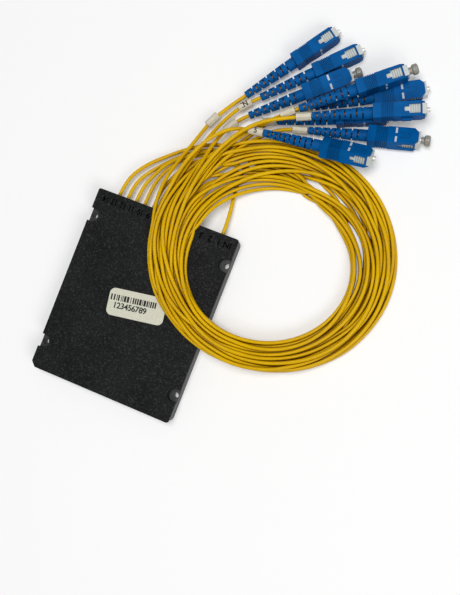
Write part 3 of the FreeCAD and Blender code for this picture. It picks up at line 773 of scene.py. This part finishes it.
# Plugs: middle of the grip, height of its axis, and in degrees its heading and where its
# key points (0 is to the left, 90 up).
PLUGS = {
    "in": (52.9, 152.9, 4.6, 44.0, 0.0),
    "1": (39.5, 156.3, 4.6, 54.0, 0.0),
    "2": (52.5, 140.1, 4.9, 40.5, -90.0),
    "3": (78.6, 148.5, 13.45, 38.0, 0.0),
    "4": (88.3, 147.6, 4.9, 28.0, -90.0),
    "5": (74.9, 109.5, 12.4, 6.0, -134.0),
    "6": (92.2, 136.7, 13.95, 22.0, 180.0),
    "7": (74.7, 130.1, 4.6, 21.5, 0.0),
    "8": (93.4, 125.4, 5.1, 14.0, -105.0),
}
GRIP_L = 25.2
GRIP_H = 7.4


def plug_matrix(name):
    """From the plug's own frame, +x out of its mouth and +z to its key, to where it lies."""
    x, y, z, heading, key = PLUGS[name]
    a, k = math.radians(heading), math.radians(key)
    ahead = Vector((math.cos(a), math.sin(a), 0))
    left = Vector((-math.sin(a), math.cos(a), 0))
    up = left * math.cos(k) + Vector((0, 0, math.sin(k)))
    side = up.cross(ahead)
    mouth = Vector((x, y, z)) + ahead * (GRIP_L / 2)
    return Matrix.Translation(mouth) @ Matrix((ahead, side, up)).transposed().to_4x4()


# On the face opposite the key: two ticks in line, and ahead of them an open loop. Both are
# measured from the mouth.
TICK_X = -11.0
TICK_L = 3.0
TICK_W = 1.0
TICK_GAP = 1.9
LOOP_BACK = -9.2
LOOP_BEND = -5.4
LOOP_R = 1.35
LOOP_LINE = 0.34
LOOP_STEPS = 14


def edges_of(geometry):
    return [e for e in geometry if isinstance(e, bmesh.types.BMEdge)]


def extrude_along(form, line, distance):
    """Extrudes edges along x; the new vertices and edges."""
    grown = bmesh.ops.extrude_edge_only(form, edges=line)["geom"]
    tips = [v for v in grown if isinstance(v, bmesh.types.BMVert)]
    bmesh.ops.translate(form, vec=(distance, 0, 0), verts=tips)
    return tips + edges_of(grown)


def mark_grip(name):
    """The white ticks, and the moulded loop in a darker blue as painted shade; both go with the
    grip.
    """
    place = plug_matrix(name)
    face = -GRIP_H / 2 - TEXT_LIFT / 2
    form = bmesh.new()
    for side in (-1, 1):
        near, far = sorted((side * TICK_GAP / 2, side * (TICK_GAP / 2 + TICK_L)))
        film(form, TICK_X - TICK_W / 2, TICK_X + TICK_W / 2, near, far, face, TEXT_LIFT, place)
    new_piece(f"grip_ticks_{name}", finish_mesh(f"grip_ticks_{name}", form), TICK_WHITE,
              f"grip_{name}")
    form = bmesh.new()
    ends = [form.verts.new((LOOP_BACK, LOOP_R + half * LOOP_LINE, face)) for half in (-0.5, 0.5)]
    tip = extrude_along(form, [form.edges.new(ends)], LOOP_BEND - LOOP_BACK)
    last = bmesh.ops.spin(form, geom=tip, cent=(LOOP_BEND, 0, face), axis=(0, 0, -1),
                          angle=math.pi, steps=LOOP_STEPS)["geom_last"]
    extrude_along(form, edges_of(last), LOOP_BACK - LOOP_BEND)
    bmesh.ops.remove_doubles(form, verts=form.verts, dist=1e-4)
    bmesh.ops.solidify(form, geom=form.faces[:], thickness=TEXT_LIFT)
    bmesh.ops.transform(form, matrix=place, verts=form.verts)
    bmesh.ops.recalc_face_normals(form, faces=form.faces)
    # the loop's darker blue is painted shade
    new_piece(f"grip_loop_{name}", finish_mesh(f"grip_loop_{name}", form), PAINTED_LOOP_SHADE,
              f"grip_{name}")


# Words on two of the sleeves: middle of the sleeve, and its heading.
SLEEVE_WORDS = [("IN", (15.87, 116.97, 4.65), 48.8), ("5", (28.26, 104.6, 12.4), 6.0)]
SLEEVE_TOP = 2.0             # over its middle
SLEEVE_WORD_H = 2.5


def print_sleeves():
    """Print on top of the sleeves."""
    words = []
    for text, middle, heading in SLEEVE_WORDS:
        at = Matrix.Translation(Vector(middle) + Vector((0, 0, SLEEVE_TOP + TEXT_LIFT)))
        words.append((text, SLEEVE_WORD_H,
                      at @ Matrix.Rotation(math.radians(heading), 4, "Z")))
    lettering("sleeve_words", words, INK, "splitter", bolder=0.1)


print_label()
mould_legend()
print_sleeves()
for name in NAMES:
    mark_grip(name)


# ---------------------------------------------------------------- stage and light
FLOOR_SIZE = 3.0             # metres, from the middle to a side
FLOOR_LIFT = 0.17            # glow of the near floor, towards white
BACKDROP = 0.95              # the same, of the far floor and of the world
FADE_FROM, FADE_TO = 0.35, 0.9    # metres from the middle, where near goes over to far
WORLD_LIGHT = 0.2            # what the world gives to the object
AIM = Vector((0.04, 0.05, 0))    # where the lamps point, in metres


def looked_at(tree):
    """1 where a ray comes from the camera, or from it by way of gloss or glass."""
    ray = add_node(tree, "ShaderNodeLightPath")
    seen = ray.outputs["Is Camera Ray"]
    for kind in ("Is Glossy Ray", "Is Transmission Ray"):
        either = add_node(tree, "ShaderNodeMath", {0: seen, 1: ray.outputs[kind]},
                          operation="MAXIMUM")
        seen = either.outputs[0]
    return seen


def make_stage():
    """A wide white paper floor that keeps the object's shadow and fades into the backdrop."""
    mesh = bpy.data.meshes.new("floor")
    form = bmesh.new()
    bmesh.ops.create_grid(form, x_segments=1, y_segments=1, size=FLOOR_SIZE)
    form.to_mesh(mesh)
    form.free()
    floor = put("floor", mesh)
    f = Finish("floor_white_paper", Roughness=0.9, Specular_IOR_Level=0.1,
               Emission_Color=srgb("#ffffff"))
    away = f.add("ShaderNodeVectorMath", {0: f.place()}, operation="LENGTH")
    far = f.add("ShaderNodeMapRange", {"Value": away.outputs["Value"], 1: FADE_FROM, 2: FADE_TO},
                interpolation_type="SMOOTHSTEP")
    f.link(f.ramp(far.outputs[0], [(0, "#f4f4f4"), (1, "#000000")]), "Base Color")
    glow = f.add("ShaderNodeMapRange", {"Value": far.outputs[0], 3: FLOOR_LIFT, 4: BACKDROP})
    lift = f.add("ShaderNodeMath", {0: looked_at(f.tree), 1: glow.outputs[0]},
                 operation="MULTIPLY")
    f.link(lift.outputs[0], "Emission Strength")
    mesh.materials.append(f.material)


def make_light(name, place, size, watts):
    """A round white softbox, placed in metres."""
    data = bpy.data.lights.new(name, "AREA")
    data.shape = "DISK"
    data.size = size
    data.energy = watts
    lamp = put(name, data)
    lamp.location = place
    lamp.rotation_euler = (AIM - Vector(place)).to_track_quat("-Z", "Y").to_euler()


def make_world():
    """A soft even light on the object, seen from the camera as the backdrop's white."""
    world = bpy.data.worlds.new("studio")
    world.use_nodes = True
    tree = world.node_tree
    background = tree.nodes["Background"]
    background.inputs["Color"].default_value = srgb("#ffffff")
    level = add_node(tree, "ShaderNodeMapRange", {"Value": looked_at(tree), 3: WORLD_LIGHT,
                                                  4: BACKDROP})
    tree.links.new(level.outputs[0], background.inputs["Strength"])
    bpy.context.scene.world = world


make_stage()
make_light("key_softbox", (0.02, 0.15, 1.5), size=0.7, watts=12)
make_light("fill_softbox", (1.0, -0.4, 1.1), size=0.8, watts=6)
make_world()
bpy.context.scene.view_settings.view_transform = "Standard"
